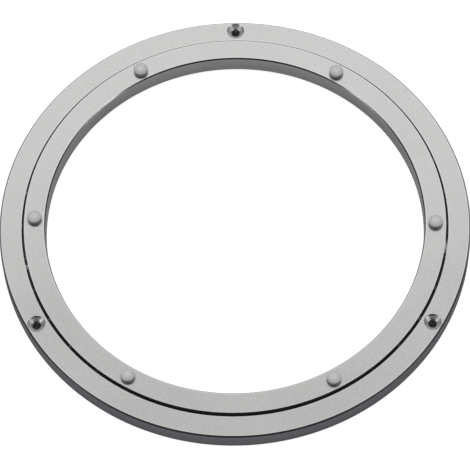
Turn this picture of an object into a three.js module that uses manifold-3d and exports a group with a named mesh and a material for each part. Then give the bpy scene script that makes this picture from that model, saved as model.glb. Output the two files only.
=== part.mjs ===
// Lazy susan turntable: a fixed outer ring, a turning inner ring on a ball race, and six
// bumper pads that carry a platter. Millimetres, +Z up. The origin is on the turning axis,
// level with the underside of the fixed ring.
import * as THREE from 'three';
import { mergeVertices } from 'three/addons/utils/BufferGeometryUtils.js';
import Module from 'manifold-3d';

const wasm = await Module();
wasm.setup();

// Rings
const outerDiameter = 300;
const openingDiameter = 241;
const ringHeight = 14;
const innerRingLift = 1.9; // how far the turning ring stands above the fixed one
const gapMiddleRadius = 135.05; // also the orbit of the balls
const gapWidth = 1.3;
const outsideChamfer = 1.1;
const footChamfer = 1.6;
const openingChamfer = 0.9;
const gapChamfer = 0.25;

// Ball bearing
const ballRadius = 3;
const ballCount = 36;
const raceRadius = 3.35;
const raceFacets = 5;
const cageThickness = 0.7;
const cageHeight = 9.2;
const cageWindowRadius = 3.4;

// Mounting holes for M5 countersunk screws, in the fixed ring
const screwHoleCount = 3;
const screwHoleOrbit = 143.1;
const screwHoleRadius = 2.65;
const countersinkRadius = 5.6;
const countersinkAngle = 100;

// Hole through which the balls are loaded, and the headless screw that closes it
const fillerAzimuth = 30;
const fillerHoleRadius = 3.5;
const fillerHoleStart = 137.2;
const plugRadius = 3.2;
const plugStart = 138.9;
const plugEnd = 149.5;
const plugSocketRadius = 1.75;
const plugSocketDepth = 3.5;
const plugSocketSides = 6;

// Bumper pads on the turning ring, which is at rest a little clockwise of the fixed one
const padCount = 6;
const padOrbit = 127.6;
const padRadius = 4.55;
const padHeight = 3.8;
const padRim = 1;
const padSeatGap = 0.1;
const stemRadius = 2.2;
const stemLength = 6.4;
const stemHoleRadius = 2.5;
const stemHoleDepth = 7;
const turntableRest = -1.05;

// Facets around each kind of round face
const ringFacets = 96;
const cageFacets = 72;
const padFacets = 20;
const holeFacets = 20;
const windowFacets = 12;
const ballDetail = 1; // times that an icosahedron's faces are divided

const overrun = 1; // how far a cutter runs past the face that it opens

const innerTop = innerRingLift + ringHeight;
const raceHeight = (innerRingLift + ringHeight) / 2;
const outerBore = gapMiddleRadius + gapWidth / 2;
const innerWall = gapMiddleRadius - gapWidth / 2;

const aluminium = new THREE.MeshStandardMaterial({ color: 0xc8c9c5, roughness: 0.45, metalness: 1 });
const silicone = new THREE.MeshStandardMaterial({ color: 0xb4b5b4, roughness: 0.5, metalness: 0 });
const nylon = new THREE.MeshStandardMaterial({ color: 0x1b1b1d, roughness: 0.55, metalness: 0 });
const ballSteel = new THREE.MeshStandardMaterial({ color: 0xd2d4d6, roughness: 0.12, metalness: 1 });
const plugSteel = new THREE.MeshStandardMaterial({ color: 0x3c3d40, roughness: 0.4, metalness: 1 });

const radians = THREE.MathUtils.degToRad;
const azimuths = (count, first) => Array.from({ length: count }, (_, i) => first + (i * 360) / count);

// A solid turned about Z from a profile of [radius, height] points.
function turned(profile, facets) {
  const points = profile.map(([r, z]) => new THREE.Vector2(r, z));
  return new THREE.LatheGeometry(points, facets).rotateX(Math.PI / 2);
}

function toManifold(geometry) {
  const bare = geometry.clone();
  bare.deleteAttribute('normal');
  bare.deleteAttribute('uv');
  const merged = mergeVertices(bare);
  const vertProperties = new Float32Array(merged.attributes.position.array);
  const triVerts = new Uint32Array(merged.index.array);
  return new wasm.Manifold(new wasm.Mesh({ numProp: 3, vertProperties, triVerts }));
}

function toGeometry(manifold) {
  const { vertProperties, triVerts } = manifold.getMesh();
  const geometry = new THREE.BufferGeometry();
  geometry.setAttribute('position', new THREE.BufferAttribute(vertProperties, 3));
  geometry.setIndex(new THREE.BufferAttribute(triVerts, 1));
  geometry.computeVertexNormals();
  return geometry;
}

// The geometry less every one of the cutters.
function cut(geometry, cutters) {
  const left = cutters.reduce((body, cutter) => body.subtract(toManifold(cutter)), toManifold(geometry));
  return toGeometry(left);
}

// Moves a tool made on the Z axis out to a place on the ring.
const outTo = (geometry, radius, azimuth) =>
  geometry.translate(radius, 0, 0).rotateZ(radians(azimuth));

// Half of the ball groove's section, bulging to the +1 or -1 side of the gap, from its low lip up.
function raceSection(side) {
  const lipAngle = Math.acos(gapWidth / 2 / raceRadius);
  return Array.from({ length: raceFacets + 1 }, (_, i) => {
    const angle = lipAngle * ((2 * i) / raceFacets - 1);
    const r = gapMiddleRadius + side * raceRadius * Math.cos(angle);
    return [r, raceHeight + raceRadius * Math.sin(angle)];
  });
}

function countersunkHole(azimuth) {
  const coneDepth = (countersinkRadius - screwHoleRadius) / Math.tan(radians(countersinkAngle / 2));
  const coneFoot = ringHeight - coneDepth;
  const tool = turned([
    [0, -overrun],
    [screwHoleRadius, -overrun],
    [screwHoleRadius, coneFoot],
    [countersinkRadius, ringHeight],
    [countersinkRadius, ringHeight + overrun],
    [0, ringHeight + overrun],
  ], holeFacets);
  return outTo(tool, screwHoleOrbit, azimuth);
}

// A round bar that points away from the turning axis at the height of the race.
function radialBar(radius, start, end, azimuth, facets) {
  const bar = new THREE.CylinderGeometry(radius, radius, end - start, facets);
  return bar.rotateZ(Math.PI / 2).translate((start + end) / 2, 0, raceHeight).rotateZ(radians(azimuth));
}

function outerRing() {
  const outside = outerDiameter / 2;
  const bar = turned([
    [outerBore + gapChamfer, 0],
    [outside - footChamfer, 0],
    [outside, footChamfer],
    [outside, ringHeight - outsideChamfer],
    [outside - outsideChamfer, ringHeight],
    [outerBore + gapChamfer, ringHeight],
    [outerBore, ringHeight - gapChamfer],
    ...raceSection(1).reverse(),
    [outerBore, gapChamfer],
    [outerBore + gapChamfer, 0],
  ], ringFacets);
  const holes = azimuths(screwHoleCount, 90).map(countersunkHole);
  const fillerEnd = outside + overrun;
  const filler = radialBar(fillerHoleRadius, fillerHoleStart, fillerEnd, fillerAzimuth, holeFacets);
  return cut(bar, [...holes, filler]);
}

function innerRing() {
  const inside = openingDiameter / 2;
  const foot = innerRingLift;
  const bar = turned([
    [inside + openingChamfer, foot],
    [innerWall - gapChamfer, foot],
    [innerWall, foot + gapChamfer],
    ...raceSection(-1),
    [innerWall, innerTop - gapChamfer],
    [innerWall - gapChamfer, innerTop],
    [inside + openingChamfer, innerTop],
    [inside, innerTop - openingChamfer],
    [inside, foot + openingChamfer],
    [inside + openingChamfer, foot],
  ], ringFacets);
  const stemHoles = azimuths(padCount, 0).map((azimuth) => {
    const hole = new THREE.CylinderGeometry(stemHoleRadius, stemHoleRadius, 2 * stemHoleDepth, holeFacets);
    return outTo(hole.rotateX(Math.PI / 2).translate(0, 0, innerTop), padOrbit, azimuth);
  });
  return cut(bar, stemHoles);
}

// A low button with a rounded rim, on a stem that goes down into the ring.
function bumperPad() {
  return turned([
    [0, -stemLength],
    [stemRadius, -stemLength],
    [stemRadius, padSeatGap],
    [padRadius, padSeatGap],
    [padRadius, padHeight - padRim],
    [padRadius - padRim * (1 - Math.SQRT1_2), padHeight - padRim * (1 - Math.SQRT1_2)],
    [padRadius - padRim, padHeight],
    [0, padHeight],
  ], padFacets);
}

function ballCage() {
  const inside = gapMiddleRadius - cageThickness / 2;
  const outside = gapMiddleRadius + cageThickness / 2;
  const low = raceHeight - cageHeight / 2;
  const high = raceHeight + cageHeight / 2;
  const band = turned([
    [inside, low],
    [outside, low],
    [outside, high],
    [inside, high],
    [inside, low],
  ], cageFacets);
  const windows = azimuths(ballCount, 0).map((azimuth) =>
    radialBar(cageWindowRadius, inside - overrun, outside + overrun, azimuth, windowFacets));
  return cut(band, windows);
}

function fillerPlug() {
  const bar = radialBar(plugRadius, plugStart, plugEnd, fillerAzimuth, holeFacets);
  const socketStart = plugEnd - plugSocketDepth;
  const socketEnd = plugEnd + overrun;
  const socket = radialBar(plugSocketRadius, socketStart, socketEnd, fillerAzimuth, plugSocketSides);
  return cut(bar, [socket]);
}

function piece(name, geometry, material) {
  const mesh = new THREE.Mesh(geometry, material);
  mesh.name = name;
  return mesh;
}

const fixedSide = new THREE.Group();
fixedSide.add(piece('outer_ring', outerRing(), aluminium));
fixedSide.add(piece('filler_plug', fillerPlug(), plugSteel));

const turningSide = new THREE.Group();
turningSide.rotation.z = radians(turntableRest);
turningSide.add(piece('inner_ring', innerRing(), aluminium));
azimuths(padCount, 0).forEach((azimuth, i) => {
  const pad = piece(`pad_${i + 1}`, bumperPad(), silicone);
  pad.position.set(padOrbit * Math.cos(radians(azimuth)), padOrbit * Math.sin(radians(azimuth)), innerTop);
  turningSide.add(pad);
});

const rollingSide = new THREE.Group();
rollingSide.add(piece('ball_cage', ballCage(), nylon));
azimuths(ballCount, 0).forEach((azimuth, i) => {
  const name = `ball_${String(i + 1).padStart(2, '0')}`;
  const ball = piece(name, new THREE.IcosahedronGeometry(ballRadius, ballDetail), ballSteel);
  ball.position.set(
    gapMiddleRadius * Math.cos(radians(azimuth)),
    gapMiddleRadius * Math.sin(radians(azimuth)),
    raceHeight,
  );
  rollingSide.add(ball);
});

const lazySusan = new THREE.Group();
lazySusan.add(fixedSide, turningSide, rollingSide);

export default lazySusan;
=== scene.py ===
"""Looks of the lazy susan turntable: two satin aluminium rings with a ball race between them."""

import math

import bmesh
import bpy
from mathutils import Matrix, Vector


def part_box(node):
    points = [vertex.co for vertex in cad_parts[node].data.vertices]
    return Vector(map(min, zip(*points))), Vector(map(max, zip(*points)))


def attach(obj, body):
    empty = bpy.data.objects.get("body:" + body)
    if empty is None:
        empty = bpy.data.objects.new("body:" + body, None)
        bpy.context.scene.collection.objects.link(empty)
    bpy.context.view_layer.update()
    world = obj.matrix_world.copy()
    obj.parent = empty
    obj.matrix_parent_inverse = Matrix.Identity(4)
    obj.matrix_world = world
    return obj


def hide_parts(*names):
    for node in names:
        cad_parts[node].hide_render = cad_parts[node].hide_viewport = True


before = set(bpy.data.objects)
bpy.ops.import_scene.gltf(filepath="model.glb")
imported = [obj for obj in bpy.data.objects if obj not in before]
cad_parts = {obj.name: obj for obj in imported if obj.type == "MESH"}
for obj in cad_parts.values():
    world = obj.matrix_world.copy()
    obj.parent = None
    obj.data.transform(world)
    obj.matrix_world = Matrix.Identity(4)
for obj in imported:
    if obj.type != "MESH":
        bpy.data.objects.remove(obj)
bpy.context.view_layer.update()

MM = 0.001
TURN = 2 * math.pi

# Sizes that no CAD box gives, in metres, as in the CAD source.
GAP = 1.3 * MM
OUTSIDE_CHAMFER = 1.1 * MM
FOOT_CHAMFER = 1.6 * MM
OPENING_CHAMFER = 0.9 * MM
GAP_CHAMFER = 0.25 * MM
OPENING_RADIUS = 120.5 * MM
RACE_RADIUS = 3.35 * MM
SCREW_HOLE_RADIUS = 2.65 * MM
COUNTERSINK_RADIUS = 5.6 * MM
COUNTERSINK_ANGLE = 100
SCREW_HOLE_ORBIT = 143.1 * MM
SCREW_HOLE_AZIMUTHS = (90, 210, 330)
FILLER_HOLE_RADIUS = 3.5 * MM
FILLER_HOLE_START = 137.2 * MM
FILLER_AZIMUTH = 30
STEM_HOLE_RADIUS = 2.5 * MM
STEM_HOLE_DEPTH = 7 * MM
CAGE_WINDOW_RADIUS = 3.4 * MM

# Fine detail that only this model has.
SOFT_EDGE = 0.25 * MM
CRISP_EDGE = 0.08 * MM
HOLE_DEBURR = 0.15 * MM
GROOVE_COUNT = 15
GROOVE_HEIGHT = 0.011 * MM
DRILL_TIP = 1.2 * MM
PAD_CLEARANCE = 0.02 * MM
PAD_CROWN = 0.35 * MM
PAD_SHOULDER = 0.95 * MM
STEM_RADIUS = 2.15 * MM
RIB_RADIUS = 2.42 * MM
RIB_LENGTH = 1.3 * MM
CAGE_RIM = 0.12 * MM
CAGE_LIP = 0.35 * MM
THREAD_PITCH = 1.25 * MM
THREAD_DEPTH = 0.55 * MM
SOCKET_HALF_WIDTH = 1.5 * MM
SOCKET_DEPTH = 3.2 * MM
SOCKET_TIP = 0.7 * MM

# What the CAD boxes give.
outer_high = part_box("outer_ring")[1]
inner_low, inner_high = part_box("inner_ring")
cage_low, cage_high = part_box("ball_cage")
OUTSIDE_RADIUS = outer_high.x
RING_HEIGHT = outer_high.z
INNER_WALL_RADIUS = round(inner_high.x, 5)
GAP_MIDDLE = INNER_WALL_RADIUS + GAP / 2
OUTER_BORE_RADIUS = INNER_WALL_RADIUS + GAP
RACE_HEIGHT = (cage_low.z + cage_high.z) / 2
BALLS = sorted(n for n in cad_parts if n.startswith("ball_") and n != "ball_cage")
PADS = sorted(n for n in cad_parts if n.startswith("pad_"))

# The photograph's viewpoint: angles in degrees, lengths in metres, the lens in millimetres.
CAMERA_ELEVATION = 61.86
CAMERA_AZIMUTH = 2.13
CAMERA_ROLL = -2.18
CAMERA_DISTANCE = 1.921
CAMERA_AIM = Vector((-0.17, -1.8, 0)) * MM
CAMERA_LENS = 229.8
CAMERA_SENSOR = 36

RING_STEPS = 360
HOLE_STEPS = 96


# ---------------------------------------------------------------- meshes

def skin(rows, steps, closed=False):
    """Quads between rows of points. closed joins the last row to the first as well."""
    faces = []
    for row in range(rows if closed else rows - 1):
        low, high = row * steps, (row + 1) % rows * steps
        for i in range(steps):
            j = (i + 1) % steps
            faces.append((low + i, low + j, high + j, high + i))
    return faces


def fan(tip, row, steps, flip=False):
    """Triangles from a point on the axis to a row of points."""
    faces = []
    for i in range(steps):
        a, b = row * steps + i, row * steps + (i + 1) % steps
        faces.append((tip, b, a) if flip else (tip, a, b))
    return faces


def new_mesh(name, points, faces, wear=None):
    """A mesh. wear gives each point's share of edge wear, and on the rings also of painted edge
    highlight, kept as the attribute "edge".
    """
    mesh = bpy.data.meshes.new(name)
    mesh.from_pydata(points, [], faces)
    if wear:
        mesh.attributes.new("edge", "FLOAT", "POINT").data.foreach_set("value", wear)
    mesh.validate()
    return mesh


def new_object(mesh, material):
    """An object named as its mesh."""
    piece = bpy.data.objects.new(mesh.name, mesh)
    bpy.context.scene.collection.objects.link(piece)
    mesh.materials.append(material)
    return piece


def shade(mesh, degrees=28):
    """Smooth faces, with edges sharper than this left crisp."""
    mesh.polygons.foreach_set("use_smooth", [True] * len(mesh.polygons))
    mesh.set_sharp_from_angle(angle=math.radians(degrees))
    mesh.update()


def turned(name, profile, steps, edge=None):
    """A mesh turned about Z from (radius, height) points.

    A profile that starts and ends on the axis is capped there; any other closes on itself.
    edge gives each point's share of edge wear and painted edge highlight, for a profile that closes
    on itself."""
    on_axis = profile[0][0] == 0
    rows = profile[1:-1] if on_axis else profile
    angles = [TURN * i / steps for i in range(steps)]
    points = [(r * math.cos(a), r * math.sin(a), z) for r, z in rows for a in angles]
    faces = skin(len(rows), steps, closed=not on_axis)
    if on_axis:
        faces += fan(len(points), 0, steps, flip=True)
        points.append((0, 0, profile[0][1]))
        faces += fan(len(points), len(rows) - 1, steps)
        points.append((0, 0, profile[-1][1]))
    wear = [share for share in edge for _ in angles] if edge else None
    return new_mesh(name, points, faces, wear)


def rounded(corners):
    """A closed outline from (radius, height, rounding, edge) corners, and its share of edge wear
    and painted edge highlight.

    Each corner is turned into an arc. A point just beyond each end of an arc keeps the flat
    beside it shaded flat, and carries the full edge share, a painted highlight beside the edge.
    On a long flat the edge wear and highlight fade out over a little way."""
    arc_steps, margin, fade, long_flat = 4, 0.05 * MM, 0.45 * MM, 3 * MM
    points, edge = [], []
    for i, (x, z, size, wear) in enumerate(corners):
        here = Vector((x, z))
        before = Vector(corners[i - 1][:2])
        after = Vector(corners[(i + 1) % len(corners)][:2])
        if not size:
            points.append((x, z))
            edge.append(wear)
            continue
        to_before, to_after = (before - here).normalized(), (after - here).normalized()
        half = to_before.angle(to_after) / 2
        reach = size / math.tan(half)
        centre = here + (to_before + to_after).normalized() * size / math.sin(half)
        start = here + to_before * reach - centre
        bend = start.x * to_after.y - start.y * to_after.x
        sweep = math.copysign(math.pi - 2 * half, bend)
        if (here - before).length > long_flat:
            points.append(tuple(here + to_before * (reach + fade)))
            edge.append(0)
        # The points just beside an arc take the full edge share, a painted highlight on the flat
        # beside the edge; the arc takes half.
        points.append(tuple(here + to_before * (reach + margin)))
        edge.append(wear)
        for step in range(arc_steps + 1):
            arm = Matrix.Rotation(sweep * step / arc_steps, 2) @ start
            points.append(tuple(centre + arm))
            edge.append(wear / 2)
        points.append(tuple(here + to_after * (reach + margin)))
        edge.append(wear)
        if (here - after).length > long_flat:
            points.append(tuple(here + to_after * (reach + fade)))
            edge.append(0)
    return points, edge


def race(side):
    """Corners of the ball groove on the +1 or -1 side of the gap, from its low lip up."""
    steps, wear = 14, 0.3
    lip = math.acos(GAP / 2 / RACE_RADIUS)
    corners = []
    for step in range(steps + 1):
        angle = lip * (2 * step / steps - 1)
        r = GAP_MIDDLE + side * RACE_RADIUS * math.cos(angle)
        corners.append((r, RACE_HEIGHT + RACE_RADIUS * math.sin(angle), 0, wear))
    return corners


def weld(mesh, face_out=False):
    """Joins points within 2 micrometres of each other. face_out turns every face outwards."""
    work = bmesh.new()
    work.from_mesh(mesh)
    bmesh.ops.remove_doubles(work, verts=work.verts, dist=0.002 * MM)
    if face_out:
        bmesh.ops.recalc_face_normals(work, faces=work.faces)
    work.to_mesh(mesh)
    work.free()


def cut(piece, tools):
    """Takes the tools out of the piece; the new faces keep the tools' materials."""
    for tool in tools:
        modifier = piece.modifiers.new("cut", "BOOLEAN")
        modifier.operation = "DIFFERENCE"
        modifier.solver = "MANIFOLD"
        modifier.material_mode = "TRANSFER"
        modifier.object = tool
    bpy.context.view_layer.update()
    depsgraph = bpy.context.evaluated_depsgraph_get()
    mesh = bpy.data.meshes.new_from_object(
        piece.evaluated_get(depsgraph), preserve_all_data_layers=True, depsgraph=depsgraph)
    weld(mesh)
    piece.modifiers.clear()
    piece.data = mesh
    mesh.name = piece.name
    for tool in tools:
        bpy.data.objects.remove(tool)


def at_azimuth(degrees, radius):
    turn = math.radians(degrees)
    return Vector((radius * math.cos(turn), radius * math.sin(turn), 0))


# ---------------------------------------------------------------- materials

class Graph:
    """A node tree, and short ways to add the nodes that it needs."""

    MIX_LOW, MIX_HIGH, MIX_RESULT = 6, 7, 2  # the Mix node's colour sockets

    def __init__(self, tree, coordinate):
        self.tree = tree
        self.place = self.add("TexCoord", {})[coordinate]

    def put(self, socket, value):
        """Gives a socket a number, vector or colour, or links another socket to it."""
        if isinstance(value, tuple):
            socket.default_value = (*value, 1)[:len(socket.default_value)]
        elif isinstance(value, (int, float)):
            socket.default_value = value
        else:
            self.tree.links.new(value, socket)

    def add(self, kind, inputs, **settings):
        """The outputs of a new node, whose sockets are given by name or number."""
        node = self.tree.nodes.new("ShaderNode" + kind)
        for name, value in settings.items():
            setattr(node, name, value)
        for socket, value in inputs.items():
            self.put(node.inputs[socket], value)
        return node.outputs

    def span(self, value, low, high, start=0.3, end=0.7, ease="LINEAR"):
        """Low to high, as value goes from start to end."""
        sockets = {"Value": value, "From Min": start, "From Max": end}
        sockets |= {"To Min": low, "To Max": high}
        return self.add("MapRange", sockets, interpolation_type=ease)["Result"]

    def math(self, operation, a, b):
        return self.add("Math", {0: a, 1: b}, operation=operation)["Value"]

    def vector(self, operation, a, b=(1, 1, 1)):
        output = "Value" if operation == "DOT_PRODUCT" else "Vector"
        return self.add("VectorMath", {0: a, 1: b}, operation=operation)[output]

    def blend(self, share, low, high):
        """A colour between two, by share."""
        sockets = {"Factor": share, self.MIX_LOW: low, self.MIX_HIGH: high}
        return self.add("Mix", sockets, data_type="RGBA")[self.MIX_RESULT]


class Shader(Graph):
    """A material with one Principled shader. Scales are in 1/m, and colours are linear."""

    def __init__(self, name, **values):
        self.material = bpy.data.materials.new(name)
        self.material.use_nodes = True
        super().__init__(self.material.node_tree, "Object")
        self.main = self.tree.nodes["Principled BSDF"]
        for socket, value in values.items():
            self.put(self.main.inputs[socket.replace("_", " ")], value)

    def stretched(self, *scale):
        return self.add("Mapping", {"Vector": self.place, "Scale": scale})["Vector"]

    def noise(self, scale, detail=2, place=None):
        sockets = {"Scale": scale, "Detail": detail, "Vector": place or self.place}
        return self.add("TexNoise", sockets)["Fac"]

    def height(self):
        """How high a point is over its piece's own origin."""
        return self.add("SeparateXYZ", {"Vector": self.place})["Z"]

    def edge(self):
        """The share of edge wear, and on the rings also of painted edge highlight, that the mesh
        carries.
        """
        return self.add("Attribute", {}, attribute_name="edge")["Fac"]

    def finish(self, colour, roughness, bumps, depth):
        normal = self.add("Bump", {"Height": bumps, "Distance": depth})["Normal"]
        for name, value in (("Base Color", colour), ("Roughness", roughness), ("Normal", normal)):
            self.put(self.main.inputs[name], value)
        return self.material


def satin_aluminium():
    """Finely blasted and anodised, with soft mottling, and smoother edges that are brighter from
    wear and from a painted highlight beside each edge.
    """
    s = Shader("satin_aluminium", Metallic=1.0)
    dull, light, bare = (0.54, 0.54, 0.539), (0.62, 0.62, 0.619), (0.86, 0.86, 0.85)
    edge, clouds = s.edge(), s.noise(26)
    fine, coarse = s.noise(2600), s.noise(900)
    grain = s.math("ADD", s.math("MULTIPLY", fine, 0.5), s.math("MULTIPLY", coarse, 0.5))
    tone = s.math("ADD", s.span(grain, -0.65, 0.65), s.span(clouds, 0.3, 0.7))
    # Edge wear and painted highlight: the edge share blends bright bare metal in along the edges.
    colour = s.blend(s.math("MULTIPLY", edge, 0.7), s.blend(tone, dull, light), bare)
    rough = s.math("ADD", s.span(clouds, 0.21, 0.25), s.span(grain, -0.03, 0.03))
    rough = s.math("SUBTRACT", rough, s.math("MULTIPLY", edge, 0.05))
    return s.finish(colour, rough, grain, 0.008 * MM)


def machined_aluminium():
    """Bright turned metal in the holes, with fine grooves round each hole's axis."""
    s = Shader("machined_aluminium", Metallic=1.0)
    dull, bright = (0.42, 0.42, 0.435), (0.82, 0.82, 0.82)
    grooves = s.noise(1, 3, s.stretched(60, 60, 9000))
    chatter = s.noise(1500)
    colour = s.blend(s.span(grooves, 0, 1), dull, bright)
    rough = s.math("ADD", s.span(grooves, 0.12, 0.2), s.span(chatter, -0.02, 0.02))
    return s.finish(colour, rough, grooves, 0.03 * MM)


def bored_aluminium():
    """Drilled metal, dull and stained with cutting oil."""
    s = Shader("bored_aluminium", Metallic=1.0)
    stained, clean = (0.44, 0.44, 0.45), (0.7, 0.7, 0.71)
    rings = s.noise(1, 2, s.stretched(50, 50, 4000))
    stain = s.noise(700)
    colour = s.blend(s.span(stain, 0, 1), stained, clean)
    rough = s.math("ADD", s.span(rings, 0.35, 0.5), s.span(stain, -0.03, 0.03))
    return s.finish(colour, rough, rings, 0.03 * MM)


def silicone():
    """Soft translucent rubber, cloudy and dusty, with painted shade darker down its sides and a
    painted highlight on its crown.
    """
    s = Shader("translucent_silicone", Subsurface_Weight=0.8, Subsurface_Scale=1.6 * MM,
               Subsurface_Radius=(1.0, 1.0, 0.95), IOR=1.41)
    # side is painted shade down the pad's sides, and crown is a painted highlight on its top;
    # shoulder is the silicone's own tone.
    side, shoulder = (0.33, 0.327, 0.35), (0.7, 0.7, 0.712)
    crown, speck = (0.9, 0.9, 0.91), (0.92, 0.92, 0.91)
    clouds, dust = s.noise(420), s.noise(5200, 1)
    height = s.math("ADD", s.height(), s.span(clouds, -0.06 * MM, 0.06 * MM))
    # Painted shade: darker towards the pad's foot.
    colour = s.blend(s.span(height, 0, 1, 1.6 * MM, 3.2 * MM), side, shoulder)
    # Painted highlight: lighter over the crown.
    colour = s.blend(s.span(height, 0, 1, 3.5 * MM, 3.8 * MM), colour, crown)
    colour = s.blend(s.span(dust, 0, 0.3, 0.66, 0.74), colour, speck)
    rough = s.math("ADD", s.span(clouds, 0.22, 0.32), s.span(dust, 0, 0.1))
    return s.finish(colour, rough, s.noise(1900), 0.02 * MM)


def black_nylon():
    """Moulded plastic with fine pores."""
    s = Shader("black_nylon")
    dark, pale = (0.012, 0.012, 0.013), (0.028, 0.028, 0.03)
    cloud, pores = s.noise(180), s.noise(4200)
    colour = s.blend(s.span(cloud, 0, 1), dark, pale)
    rough = s.math("ADD", s.span(cloud, 0.42, 0.55), s.span(pores, -0.05, 0.05))
    return s.finish(colour, rough, pores, 0.015 * MM)


def ball_steel():
    """Polished steel with hair-fine marks from rolling."""
    s = Shader("polished_steel", Metallic=1.0)
    hazy, clear = (0.60, 0.61, 0.62), (0.72, 0.725, 0.73)
    marks = s.noise(1, 3, s.stretched(700, 700, 7000))
    haze = s.noise(300)
    colour = s.blend(s.span(haze, 0, 1), hazy, clear)
    rough = s.math("ADD", s.span(haze, 0.07, 0.13), s.span(marks, 0, 0.05))
    return s.finish(colour, rough, marks, 0.002 * MM)


def black_oxide():
    """Oxide-blackened screw steel, worn to bare metal on its crests."""
    s = Shader("black_oxide_steel", Metallic=1.0)
    oxide, bare = (0.045, 0.045, 0.05), (0.42, 0.42, 0.43)
    patches = s.noise(900, 3)
    worn = s.math("MULTIPLY", s.edge(), s.span(patches, 0.1, 1))
    colour = s.blend(worn, oxide, bare)
    rough = s.math("SUBTRACT", s.span(patches, 0.36, 0.52), s.math("MULTIPLY", worn, 0.12))
    return s.finish(colour, rough, patches, 0.01 * MM)


SATIN = satin_aluminium()
MACHINED = machined_aluminium()
BORED = bored_aluminium()
SILICONE = silicone()
NYLON = black_nylon()
BALL_STEEL = ball_steel()
OXIDE = black_oxide()


# ---------------------------------------------------------------- pieces

def drill(profile, steps=72, material=MACHINED):
    """A cutting tool turned about Z, which leaves its material on what it cuts."""
    return new_object(turned("tool", profile, steps), material)


def lay_out(tool, azimuth):
    """Tips an upright tool over, to point away from the turning axis at the race's height."""
    tool.matrix_world = (
        Matrix.Translation((0, 0, RACE_HEIGHT))
        @ Matrix.Rotation(math.radians(azimuth), 4, "Z")
        @ Matrix.Rotation(math.radians(90), 4, "Y")
    )
    return tool


def screw_hole():
    """A through bore under a wide countersink, whose cone keeps the grooves of the cutter."""
    clear, inset, rows_to_groove = 5 * MM, 0.12 * MM, 5
    width = COUNTERSINK_RADIUS - SCREW_HOLE_RADIUS
    depth = width / math.tan(math.radians(COUNTERSINK_ANGLE / 2))
    foot = RING_HEIGHT - depth
    mouth = SCREW_HOLE_RADIUS + HOLE_DEBURR
    bore = [
        (0, -clear),
        (mouth + clear, -clear),
        (mouth, 0),
        (SCREW_HOLE_RADIUS, HOLE_DEBURR),
        (SCREW_HOLE_RADIUS, foot),
        (0, foot),
    ]
    cone = [(0, foot - inset), (SCREW_HOLE_RADIUS, foot - inset)]
    rows = GROOVE_COUNT * rows_to_groove
    for row in range(rows + 1):
        share = row / rows
        fade = math.sin(math.pi * share) ** 0.3
        ripple = GROOVE_HEIGHT * math.sin(TURN * row / rows_to_groove) * fade
        cone.append((SCREW_HOLE_RADIUS + inset + (width - 2 * inset) * share + ripple,
                     foot + inset + (depth - 2 * inset) * share - ripple))
    cone += [
        (COUNTERSINK_RADIUS, RING_HEIGHT),
        (COUNTERSINK_RADIUS + clear * width / depth, RING_HEIGHT + clear),
        (0, RING_HEIGHT + clear),
    ]
    return drill(cone, HOLE_STEPS), drill(bore, HOLE_STEPS, BORED)


def outer_ring():
    """The fixed ring, with its screw holes and the hole through which the balls are loaded."""
    corners = [
        (OUTER_BORE_RADIUS + GAP_CHAMFER, 0, CRISP_EDGE, 1),
        (OUTSIDE_RADIUS - FOOT_CHAMFER, 0, SOFT_EDGE, 1),
        (OUTSIDE_RADIUS, FOOT_CHAMFER, 2 * SOFT_EDGE, 0.3),
        (OUTSIDE_RADIUS, RING_HEIGHT - OUTSIDE_CHAMFER, SOFT_EDGE, 1),
        (OUTSIDE_RADIUS - OUTSIDE_CHAMFER, RING_HEIGHT, SOFT_EDGE, 1),
        (OUTER_BORE_RADIUS + GAP_CHAMFER, RING_HEIGHT, CRISP_EDGE, 1),
        (OUTER_BORE_RADIUS, RING_HEIGHT - GAP_CHAMFER, CRISP_EDGE, 1),
        *reversed(race(1)),
        (OUTER_BORE_RADIUS, GAP_CHAMFER, CRISP_EDGE, 1),
    ]
    points, edge = rounded(corners)
    ring = new_object(turned("outer_ring_satin", points, RING_STEPS, edge), SATIN)
    tools = []
    for azimuth in SCREW_HOLE_AZIMUTHS:
        for tool in screw_hole():
            tool.location = at_azimuth(azimuth, SCREW_HOLE_ORBIT)
            tools.append(tool)
    filler_hole = drill([
        (0, FILLER_HOLE_START),
        (FILLER_HOLE_RADIUS, FILLER_HOLE_START),
        (FILLER_HOLE_RADIUS, OUTSIDE_RADIUS + MM),
        (0, OUTSIDE_RADIUS + MM),
    ])
    tools.append(lay_out(filler_hole, FILLER_AZIMUTH))
    cut(ring, tools)
    shade(ring.data)
    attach(ring, "fixed_ring")
    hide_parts("outer_ring")


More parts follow.
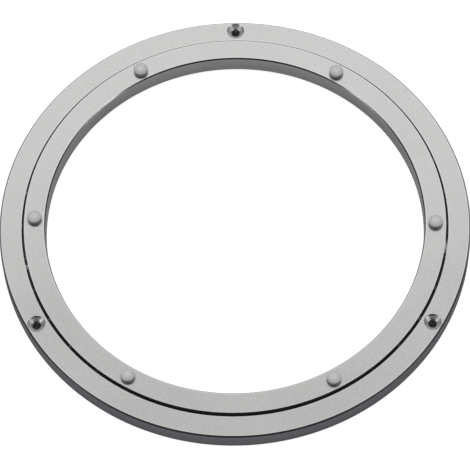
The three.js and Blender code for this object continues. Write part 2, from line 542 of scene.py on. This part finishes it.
def inner_ring():
    """The turning ring, with a blind hole for each pad's stem."""
    low, high = inner_low.z, inner_high.z
    corners = [
        (OPENING_RADIUS + OPENING_CHAMFER, low, SOFT_EDGE, 1),
        (INNER_WALL_RADIUS - GAP_CHAMFER, low, CRISP_EDGE, 1),
        (INNER_WALL_RADIUS, low + GAP_CHAMFER, CRISP_EDGE, 1),
        *race(-1),
        (INNER_WALL_RADIUS, high - GAP_CHAMFER, CRISP_EDGE, 1),
        (INNER_WALL_RADIUS - GAP_CHAMFER, high, CRISP_EDGE, 1),
        (OPENING_RADIUS + OPENING_CHAMFER, high, SOFT_EDGE, 1),
        (OPENING_RADIUS, high - OPENING_CHAMFER, SOFT_EDGE, 1),
        (OPENING_RADIUS, low + OPENING_CHAMFER, SOFT_EDGE, 1),
    ]
    points, edge = rounded(corners)
    ring = new_object(turned("inner_ring_satin", points, RING_STEPS, edge), SATIN)
    bottom = high - STEM_HOLE_DEPTH
    tools = []
    for pad in PADS:
        tool = drill([
            (0, bottom - DRILL_TIP),
            (STEM_HOLE_RADIUS, bottom),
            (STEM_HOLE_RADIUS, high + MM),
            (0, high + MM),
        ], HOLE_STEPS // 2)
        pad_low, pad_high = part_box(pad)
        centre = (pad_low + pad_high) / 2
        tool.location = (centre.x, centre.y, 0)
        tools.append(tool)
    cut(ring, tools)
    shade(ring.data)
    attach(ring, "turntable")
    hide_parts("inner_ring")


def bumper_pad(pad):
    """A soft round button with a low crown, and a stem under it whose two ribs grip the hole."""
    low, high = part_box(pad)
    centre = (low + high) / 2
    radius = (high.x - low.x) / 2
    seat = inner_high.z + PAD_CLEARANCE
    height, foot = high.z - seat, seat - low.z
    profile = [
        (0, -foot),
        (STEM_RADIUS - 0.7 * MM, -foot),
        (STEM_RADIUS - 0.1 * MM, -foot + 0.6 * MM),
    ]
    rib_steps = 8
    for middle in (-foot * 0.72, -foot * 0.4):
        for step in range(rib_steps + 1):
            phase = step / rib_steps
            bulge = (RIB_RADIUS - STEM_RADIUS) * math.sin(math.pi * phase) ** 2
            profile.append((STEM_RADIUS + bulge, middle + (phase - 0.5) * RIB_LENGTH))
    profile += [
        (STEM_RADIUS, -0.15 * MM),
        (STEM_RADIUS + 0.15 * MM, 0),
        (radius - 0.25 * MM, 0),
        (radius - 0.06 * MM, 0.08 * MM),
        (radius, 0.3 * MM),
    ]
    steps = 10
    flat, shoulder = radius - PAD_SHOULDER, height - PAD_CROWN
    for step in range(steps + 1):
        turn = math.pi / 2 * step / steps
        profile.append((flat + PAD_SHOULDER * math.cos(turn),
                        shoulder - PAD_SHOULDER + PAD_SHOULDER * math.sin(turn)))
    for step in range(1, steps):
        share = step / steps
        rise = PAD_CROWN * math.sin(math.pi / 2 * share)
        profile.append((flat * (1 - share), shoulder + rise))
    profile.append((0, height))
    piece = new_object(turned("silicone_" + pad, profile, 72), SILICONE)
    shade(piece.data, 50)
    piece.location = (centre.x, centre.y, seat)
    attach(piece, "turntable")
    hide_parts(pad)


def bearing_ball(name):
    """A polished ball, which rolls on its own body."""
    low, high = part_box(name)
    radius = (high.z - low.z) / 2
    profile = [(0, -radius)]
    rings = 24
    for step in range(1, rings):
        angle = math.pi * (step / rings - 0.5)
        profile.append((radius * math.cos(angle), radius * math.sin(angle)))
    profile.append((0, radius))
    piece = new_object(turned("steel_" + name, profile, 40), BALL_STEEL)
    shade(piece.data, 60)
    piece.location = (low + high) / 2
    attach(piece, name)
    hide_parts(name)


def cage_cell(steps, half_width, half_height):
    """A cell's outline about its ball, as (across, up, reach) directions that meet its corners."""
    outline = []
    for i in range(steps):
        angle = TURN * (i + 0.5) / steps
        x, z = math.cos(angle), math.sin(angle)
        outline.append((x, z, min(half_width / abs(x), half_height / abs(z))))
    first = round(math.atan2(half_height, half_width) / TURN * steps - 0.5)
    half_turn = steps // 2
    for corner in (first, half_turn - 1 - first, half_turn + first, steps - 1 - first):
        x = math.copysign(half_width, outline[corner][0])
        z = math.copysign(half_height, outline[corner][1])
        reach = math.hypot(x, z)
        outline[corner] = (x / reach, z / reach, reach)
    return outline


def cage_band():
    """The nylon band: one round window to a ball, with a softened rim on both faces."""
    steps = 32
    cell = TURN / len(BALLS)
    half_height = (cage_high.z - cage_low.z) / 2
    half_depth = cage_high.x - GAP_MIDDLE
    outline = cage_cell(steps, GAP_MIDDLE * cell / 2, half_height)

    def loop(share, window, offset):
        """The outline, drawn in by a share of the way to a round window."""
        reaches = [(x, z, reach + (window - reach) * share) for x, z, reach in outline]
        return [(x * reach, z * reach, offset) for x, z, reach in reaches]

    lip = CAGE_WINDOW_RADIUS + CAGE_LIP
    loops = [loop(share, lip, half_depth) for share in (0, 8 / 15, 1)]
    loops.append(loop(1, CAGE_WINDOW_RADIUS, half_depth - CAGE_RIM))
    loops += [[(x, z, -offset) for x, z, offset in row] for row in reversed(loops)]
    walls = skin(len(loops), steps)
    last = (len(loops) - 1) * steps
    on_rim = [abs(z * reach) > half_height * 0.999 for _, z, reach in outline]
    for i in range(steps):
        j = (i + 1) % steps
        if on_rim[i] and on_rim[j]:
            walls.append((last + i, last + j, j, i))
    points, faces = [], []
    for k in range(len(BALLS)):
        faces += [tuple(len(points) + corner for corner in wall) for wall in walls]
        for row in loops:
            for x, z, offset in row:
                angle = k * cell + x / GAP_MIDDLE
                r = GAP_MIDDLE + offset
                points.append((r * math.cos(angle), r * math.sin(angle), RACE_HEIGHT + z))
    mesh = new_mesh("nylon_cage", points, faces)
    weld(mesh, face_out=True)
    band = new_object(mesh, NYLON)
    shade(mesh, 35)
    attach(band, "cage")
    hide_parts("ball_cage")


def filler_plug():
    """A headless screw: helical thread, hexagon socket facing out, chamfered ends."""
    low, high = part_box("filler_plug")
    axis = at_azimuth(FILLER_AZIMUTH, 1)
    radius = (high.z - low.z) / 2
    # The box is of a slanted bar, so its ends follow from the corner that is furthest out.
    end = (high.x - radius * axis.y) / axis.x
    start = (low.x + radius * axis.y) / axis.x
    length = end - start
    core = radius - THREAD_DEPTH
    steps, rows_to_pitch, plain, run_out = 48, 8, 0.48 * MM, 1.0 * MM
    sixth = math.pi / 3
    hexagon = [SOCKET_HALF_WIDTH / math.cos((TURN * i / steps + sixth / 2) % sixth - sixth / 2)
               for i in range(steps)]

    def crest(z, angle):
        """How near a point is to the thread's crest, from 0 in the root to 1."""
        phase = (z / THREAD_PITCH - angle / TURN) % 1
        return 1 - abs(2 * phase - 1)

    # Each row is (radius, height along the plug, share of wear) all round.
    rows = [[(0.6 * core, 0.0, 0.0)] * steps, [(core, 0.15 * MM, 0.2)] * steps]
    count = round((length - 2 * plain) / THREAD_PITCH * rows_to_pitch)
    for k in range(count + 1):
        z = plain + (length - 2 * plain) * k / count
        fade = min(1, (z - plain) / run_out + 0.15, (length - plain - z) / run_out + 0.15)
        shares = [crest(z, TURN * i / steps) * fade for i in range(steps)]
        rows.append([(core + THREAD_DEPTH * share, z, share**2) for share in shares])
    rows.append([(core, length - 0.12 * MM, 1)] * steps)
    rows.append([(core - 0.15 * MM, length, 0.8)] * steps)
    rows.append([(r + 0.1 * MM, length, 0.8) for r in hexagon])
    rows.append([(r, length - 0.1 * MM, 0.8) for r in hexagon])
    rows.append([(r, length - SOCKET_DEPTH, 0) for r in hexagon])
    points, wear = [], []
    for row in rows:
        for i, (r, z, worn) in enumerate(row):
            angle = TURN * i / steps
            points.append((r * math.cos(angle), r * math.sin(angle), z))
            wear.append(worn)
    faces = skin(len(rows), steps)
    faces += fan(len(points), 0, steps, flip=True)
    faces += fan(len(points) + 1, len(rows) - 1, steps)
    points += [(0, 0, 0), (0, 0, length - SOCKET_DEPTH - SOCKET_TIP)]
    wear += [0, 0]
    plug = new_object(new_mesh("threaded_plug", points, faces, wear), OXIDE)
    shade(plug.data, 40)
    lay_out(plug, FILLER_AZIMUTH)
    plug.matrix_world = Matrix.Translation(axis * start) @ plug.matrix_world
    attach(plug, "fixed_ring")
    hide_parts("filler_plug")


outer_ring()
inner_ring()
for pad_name in PADS:
    bumper_pad(pad_name)
for ball_name in BALLS:
    bearing_ball(ball_name)
cage_band()
filler_plug()


# ---------------------------------------------------------------- stage, light and camera

def flat_sheet(name, height, half_size=4.0):
    corners = [(-1, -1), (1, -1), (1, 1), (-1, 1)]
    points = [(x * half_size, y * half_size, height) for x, y in corners]
    return new_mesh(name, points, [(0, 1, 2, 3)])


def floor():
    """A near-white floor for the camera, over a darker table that light falls on and metal mirrors.

    The card is a lighter disc in the turntable's opening, for the walls round it to mirror."""
    white = Shader("pale_floor", Base_Color=(0.5, 0.5, 0.5), Roughness=0.9,
                   Emission_Color=(1, 1, 1), Emission_Strength=0.9)
    seen = new_object(flat_sheet("floor", -0.05 * MM), white.material)
    seen.visible_glossy = seen.visible_diffuse = False
    seen.visible_transmission = seen.visible_shadow = False
    table = Shader("table", Base_Color=(0.40, 0.39, 0.43), Roughness=0.9)
    lit = new_object(flat_sheet("table", -0.1 * MM), table.material)
    lit.visible_camera = False
    paper = Shader("paper", Base_Color=(0.72, 0.71, 0.74), Roughness=0.9)
    radius, low, high = OPENING_RADIUS - 0.5 * MM, -0.09 * MM, -0.08 * MM
    disc = [(0, low), (radius, low), (radius, high), (0, high)]
    card = new_object(turned("card", disc, HOLE_STEPS), paper.material)
    card.visible_camera = False


def soft_box(name, azimuth, elevation, distance, width, height, watts):
    """A large flat lamp that faces the turntable's middle. Azimuth 0 is in front."""
    lamp = bpy.data.lights.new(name, "AREA")
    lamp.shape = "RECTANGLE"
    lamp.size, lamp.size_y = width, height
    lamp.energy = watts
    holder = bpy.data.objects.new(name, lamp)
    bpy.context.scene.collection.objects.link(holder)
    a, e = math.radians(azimuth), math.radians(elevation)
    way = Vector((math.sin(a) * math.cos(e), -math.cos(a) * math.cos(e), math.sin(e)))
    holder.location = way * distance
    holder.rotation_mode = "QUATERNION"
    holder.rotation_quaternion = way.to_track_quat("Z", "Y")


def surroundings():
    """A soft dome over a horizon that is lit only at the back, with a wide dark band in front."""
    world = bpy.data.worlds.new("room")
    bpy.context.scene.world = world
    world.use_nodes = True
    g = Graph(world.node_tree, "Generated")
    wide = g.vector("NORMALIZE", g.vector("MULTIPLY", g.place, (0.45, 1, 1)))

    def along(way, start, end, through=g.place):
        """From 0 to 1, as a direction comes nearer to a way; start and end are cosines."""
        nearness = g.vector("DOT_PRODUCT", through, tuple(Vector(way).normalized()))
        return g.span(nearness, 0, 1, start, end, "SMOOTHSTEP")

    back, up, low_front = (0, 1, 0), (0, 0, 1), (0, -0.85, 0.53)
    dome = g.blend(along(back, -0.2, 1), (0.72, 0.72, 0.714), (0.855, 0.858, 0.842))
    banded = g.blend(along(low_front, 0.81, 0.94, wide), dome, (0.02, 0.02, 0.024))
    horizon = g.blend(along(back, 0.45, 0.85), (0.035, 0.035, 0.04), (0.62, 0.62, 0.612))
    room = g.blend(along(up, 0.27, 0.74), horizon, banded)
    g.put(g.tree.nodes["Background"].inputs["Color"], room)


def camera():
    """The photograph's viewpoint, a long lens from well above."""
    data = bpy.data.cameras.new("camera")
    data.sensor_width = CAMERA_SENSOR
    data.lens = CAMERA_LENS
    data.clip_start, data.clip_end = 0.1, 50
    holder = bpy.data.objects.new("camera", data)
    bpy.context.scene.collection.objects.link(holder)
    e = math.radians(CAMERA_ELEVATION)
    turn = Matrix.Rotation(math.radians(CAMERA_AZIMUTH), 4, "Z")
    place = CAMERA_AIM + Vector((0, -math.cos(e), math.sin(e))) * CAMERA_DISTANCE
    look = turn @ Matrix.Translation(place) @ Matrix.Rotation(math.pi / 2 - e, 4, "X")
    holder.matrix_world = look @ Matrix.Rotation(math.radians(CAMERA_ROLL), 4, "Z")
    bpy.context.scene.camera = holder


floor()
surroundings()
soft_box("back_box", 180, elevation=46, distance=1.6, width=1.6, height=1.0, watts=1.35)
for side in (-70, 70):
    soft_box("side_strip", side, elevation=38, distance=1.2, width=0.4, height=0.5, watts=0.7)
camera()
bpy.context.scene.view_settings.view_transform = "Standard"
